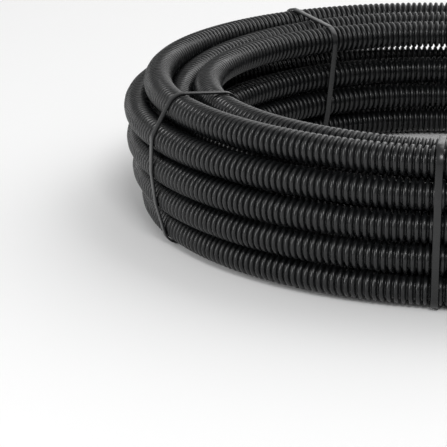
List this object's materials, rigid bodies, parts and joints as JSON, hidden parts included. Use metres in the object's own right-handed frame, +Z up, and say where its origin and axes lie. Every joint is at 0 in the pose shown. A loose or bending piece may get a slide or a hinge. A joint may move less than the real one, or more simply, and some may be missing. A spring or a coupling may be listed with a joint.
{
  "type": "corrugated conduit coil",
  "caption": "Loosely wound coil of black corrugated electrical conduit with open cut ends, held by cable ties.",
  "frame": {"origin": "middle of the coil's bounding box in plan, at the floor that it lies on", "axes": "+Z up along the coil's axis; the outer end leaves the coil towards +X at the front, which is -Y"},
  "size_m": [0.3916, 0.3701, 0.0841],
  "materials": {
    "conduit_black": "satin",
    "tie_black": "satin"
  },
  "bodies": {
    "root": {"conduit": "conduit_black", "tie_1": "tie_black", "tie_2": "tie_black", "tie_3": "tie_black", "tie_4": "tie_black", "tie_5": "tie_black"}
  },
  "joints": []
}
